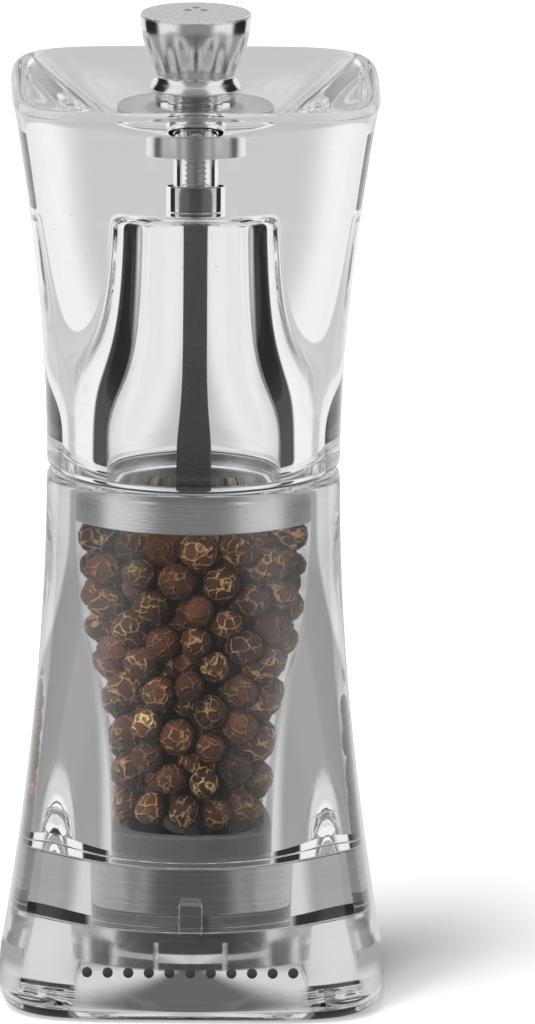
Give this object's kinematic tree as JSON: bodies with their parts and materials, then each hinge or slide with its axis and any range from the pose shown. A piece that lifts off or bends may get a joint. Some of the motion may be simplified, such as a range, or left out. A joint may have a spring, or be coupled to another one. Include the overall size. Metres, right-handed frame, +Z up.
{
  "type": "pepper mill",
  "caption": "Waisted clear acrylic pepper mill with a turning head, chromed adjusting knob, square spindle, steel collar and conical grinder, filled with peppercorns.",
  "frame": {"origin": "centre of the foot, in the plane it stands on", "axes": "+Z up along the spindle, -Y the front face of the foot, +X to the right of someone facing the front"},
  "size_m": [0.0486, 0.0486, 0.1256],
  "materials": {
    "clear_acrylic": "clear, polished acrylic",
    "clear_plastic": "clear, moulded plastic",
    "satin_steel": "satin, brushed round its axis",
    "dark_nylon": "matte",
    "dark_plastic": "fine moulded matte",
    "burr_steel": "hardened, dark and slightly oily",
    "dark_steel": "drawn bar, dark grey",
    "pale_nylon": "matte",
    "bright_steel": "zinc-bright",
    "brass": "turned",
    "chrome": "satin top, polished side",
    "mark_enamel": "filled, dark",
    "peppercorn": "dried and wrinkled"
  },
  "bodies": {
    "base": {"lower_body": "clear_acrylic", "collar": "satin_steel", "slip_ring": "dark_nylon", "mechanism_housing": "dark_plastic", "steel_band": "satin_steel", "retaining_ring": "clear_plastic", "grinding_ring": "burr_steel", "bearing_bracket": "dark_plastic", "bracket_bush": "pale_nylon", "peppercorns": "peppercorn"},
    "rotor": {"thrust_washer": "bright_steel", "spring": "bright_steel"},
    "spindle_unit": {"spindle": "dark_steel", "grinding_cone": "burr_steel", "cone_washer": "bright_steel", "cone_screw": "bright_steel"},
    "head_unit": {"head": "clear_acrylic", "drive_bush": "clear_plastic", "seat_disc": "clear_plastic"},
    "knob_seat": {"knob_washer": "clear_plastic"},
    "knob_unit": {"knob": "chrome", "knob_insert": "brass", "knob_mark": "mark_enamel"}
  },
  "joints": [
    {"name": "mill_turn", "type": "hinge", "parent": "base", "child": "rotor", "pos_m": [0, 0, 0.0671], "axis": [0, 0, 1], "continuous": true},
    {"name": "grind_adjust", "type": "slide", "parent": "rotor", "child": "spindle_unit", "axis": [0, 0, 1], "range_m": [-0.00105, 0.00035], "deforming": ["spring"]},
    {"name": "head_lift", "type": "slide", "parent": "rotor", "child": "head_unit", "axis": [0, 0, 1], "range_m": [0, 0.06]},
    {"name": "knob_lift", "type": "slide", "parent": "head_unit", "child": "knob_seat", "axis": [0, 0, 1], "range_m": [0, 0.02]},
    {"name": "knob_turn", "type": "hinge", "parent": "knob_seat", "child": "knob_unit", "pos_m": [0, 0, 0.1155], "axis": [0, 0, 1], "range_deg": [-180, 540]}
  ],
  "couplings": [
    {"joint": "knob_turn", "follows": "grind_adjust", "rad_per_m": -8976}
  ]
}
